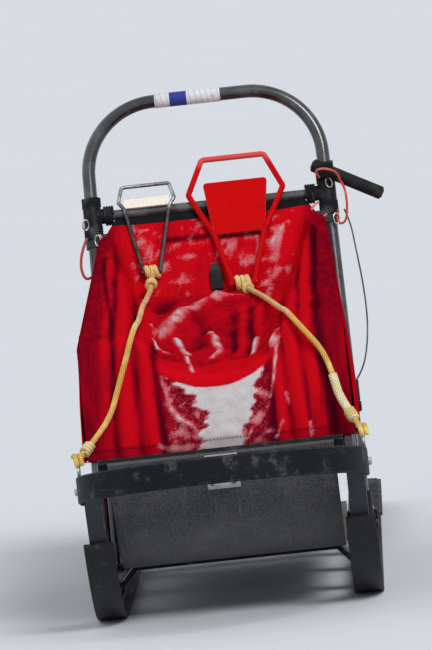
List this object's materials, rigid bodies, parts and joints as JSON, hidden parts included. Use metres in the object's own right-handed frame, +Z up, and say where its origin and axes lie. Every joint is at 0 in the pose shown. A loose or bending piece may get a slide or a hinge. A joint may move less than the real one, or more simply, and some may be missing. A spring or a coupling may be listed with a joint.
{
  "type": "dog sled",
  "caption": "Raised toboggan dog sled with a fabric bag, handlebar hoop, snow hooks, claw brake and drag mat.",
  "frame": {"origin": "on the ground, half-way between the two runners and half-way along them", "axes": "+Y towards the driver's end along the runners (the front looks along -Y), +X to the right as seen from the front, +Z up"},
  "size_m": [0.6585, 2.4562, 0.984],
  "materials": {
    "beam_black": "black anodised",
    "base_plastic": "polished black polyethylene",
    "pad_rubber": "ribbed matt",
    "frame_plastic": "matt black polyethylene",
    "bed_plastic": "scuffed dark grey sheet",
    "tube_black": "glossy black",
    "joint_black": "satin",
    "bag_red": "coated nylon",
    "buckle_black": "moulded",
    "steel": "brushed",
    "hook_red": "powder coat",
    "rope_yellow": "braided",
    "grip_rubber": "moulded",
    "mat_rubber": "lugged belt",
    "webbing_black": "woven"
  },
  "bodies": {
    "root": {"bag_buckle": "buckle_black", "bag_cover": "bag_red", "bag_tub": "bag_red", "bed": "bed_plastic", "brake_ear_left": "tube_black", "brake_ear_right": "tube_black", "brake_pin": "steel", "bridge_front": "frame_plastic", "bridge_middle": "frame_plastic", "bridge_rear": "frame_plastic", "brushbow": "frame_plastic", "crossbar_lower": "tube_black", "crossbar_upper": "tube_black", "footpad_left": "pad_rubber", "footpad_right": "pad_rubber", "grip_clamp": "joint_black", "handlebar": "tube_black", "hook_line_left": "rope_yellow", "hook_line_right": "rope_yellow", "hook_red": "hook_red", "hook_steel": "steel", "leg_socket_left": "joint_black", "leg_socket_right": "joint_black", "line_eye_left": "steel", "line_eye_right": "steel", "lower_joint_left": "joint_black", "lower_joint_right": "joint_black", "mat_rod": "steel", "mat_straps": "webbing_black", "nose_bar": "frame_plastic", "post_front_left": "tube_black", "post_front_right": "tube_black", "post_middle_left": "tube_black", "post_middle_right": "tube_black", "rear_crosspiece": "tube_black", "runner_base_left": "base_plastic", "runner_base_right": "base_plastic", "runner_left": "beam_black", "runner_right": "beam_black", "side_grip": "grip_rubber", "side_rail_left": "tube_black", "side_rail_right": "tube_black", "tow_eye": "steel", "upper_joint_left": "joint_black", "upper_joint_right": "joint_black"},
    "brake": {"brake_claws": "steel", "brake_frame": "tube_black", "brake_step": "tube_black"},
    "mat": {"drag_mat": "mat_rubber"}
  },
  "joints": [
    {"name": "brake_pivot", "type": "hinge", "parent": "root", "child": "brake", "pos_m": [0, 0.302, 0.08], "axis": [1, 0, 0], "range_deg": [-18, 0], "stiffness_Nm_per_rad": 15, "springref_deg": 34.38},
    {"name": "mat_hinge", "type": "hinge", "parent": "root", "child": "mat", "pos_m": [0, 0.64, 0.024], "axis": [1, 0, 0], "range_deg": [0, 98]}
  ]
}
